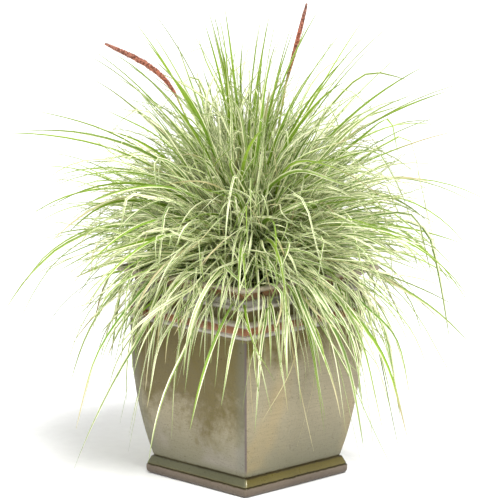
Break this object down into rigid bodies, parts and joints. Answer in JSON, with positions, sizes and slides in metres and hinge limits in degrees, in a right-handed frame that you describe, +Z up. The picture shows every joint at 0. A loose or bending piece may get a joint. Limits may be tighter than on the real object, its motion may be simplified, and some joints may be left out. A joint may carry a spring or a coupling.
{
  "type": "potted fountain grass clump",
  "caption": "Variegated fountain grass arching over the rim of a square, olive-glazed ceramic planter with a terracotta-toned band, with slim reddish flower spikes.",
  "frame": {"origin": "on the ground, under the middle of the planter", "axes": "+Z up; the planter's four faces look along +X, -X, +Y and -Y; the flower spikes lean in the vertical plane through the corners at +X+Y and -X-Y"},
  "size_m": [0.8866, 0.8866, 0.9001],
  "materials": {
    "olive_glaze": "gloss",
    "potting_soil": "matte",
    "straw_sheath": "matte",
    "variegated_leaf": "satin",
    "flower_stalk": "satin",
    "mauve_bristle": "matte"
  },
  "bodies": {
    "root": {"planter": "olive_glaze", "potting_soil": "potting_soil", "root_crown": "straw_sheath", "leaf_tuft_rim_01": "variegated_leaf", "leaf_tuft_rim_02": "variegated_leaf", "leaf_tuft_rim_03": "variegated_leaf", "leaf_tuft_rim_04": "variegated_leaf", "leaf_tuft_rim_05": "variegated_leaf", "leaf_tuft_rim_06": "variegated_leaf", "leaf_tuft_rim_07": "variegated_leaf", "leaf_tuft_rim_08": "variegated_leaf", "leaf_tuft_skirt_01": "variegated_leaf", "leaf_tuft_skirt_02": "variegated_leaf", "leaf_tuft_skirt_03": "variegated_leaf", "leaf_tuft_skirt_04": "variegated_leaf", "leaf_tuft_skirt_05": "variegated_leaf", "leaf_tuft_skirt_06": "variegated_leaf", "leaf_tuft_skirt_07": "variegated_leaf", "leaf_tuft_skirt_08": "variegated_leaf", "leaf_tuft_skirt_09": "variegated_leaf", "leaf_tuft_skirt_10": "variegated_leaf", "leaf_tuft_low_01": "variegated_leaf", "leaf_tuft_low_02": "variegated_leaf", "leaf_tuft_low_03": "variegated_leaf", "leaf_tuft_low_04": "variegated_leaf", "leaf_tuft_low_05": "variegated_leaf", "leaf_tuft_low_06": "variegated_leaf", "leaf_tuft_low_07": "variegated_leaf", "leaf_tuft_low_08": "variegated_leaf", "leaf_tuft_low_09": "variegated_leaf", "leaf_tuft_low_10": "variegated_leaf", "leaf_tuft_middle_01": "variegated_leaf", "leaf_tuft_middle_02": "variegated_leaf", "leaf_tuft_middle_03": "variegated_leaf", "leaf_tuft_middle_04": "variegated_leaf", "leaf_tuft_middle_05": "variegated_leaf", "leaf_tuft_middle_06": "variegated_leaf", "leaf_tuft_middle_07": "variegated_leaf", "leaf_tuft_middle_08": "variegated_leaf", "leaf_tuft_high_01": "variegated_leaf", "leaf_tuft_high_02": "variegated_leaf", "leaf_tuft_high_03": "variegated_leaf", "leaf_tuft_high_04": "variegated_leaf", "leaf_tuft_high_05": "variegated_leaf", "leaf_tuft_high_06": "variegated_leaf", "leaf_tuft_high_07": "variegated_leaf", "leaf_tuft_upright_01": "variegated_leaf", "leaf_tuft_upright_02": "variegated_leaf", "leaf_tuft_upright_03": "variegated_leaf", "leaf_tuft_upright_04": "variegated_leaf", "leaf_tuft_upright_05": "variegated_leaf", "leaf_tuft_top": "variegated_leaf", "flower_stalk_upright": "flower_stalk", "flower_spike_upright": "mauve_bristle", "flower_stalk_arching": "flower_stalk", "flower_spike_arching": "mauve_bristle"}
  },
  "joints": []
}
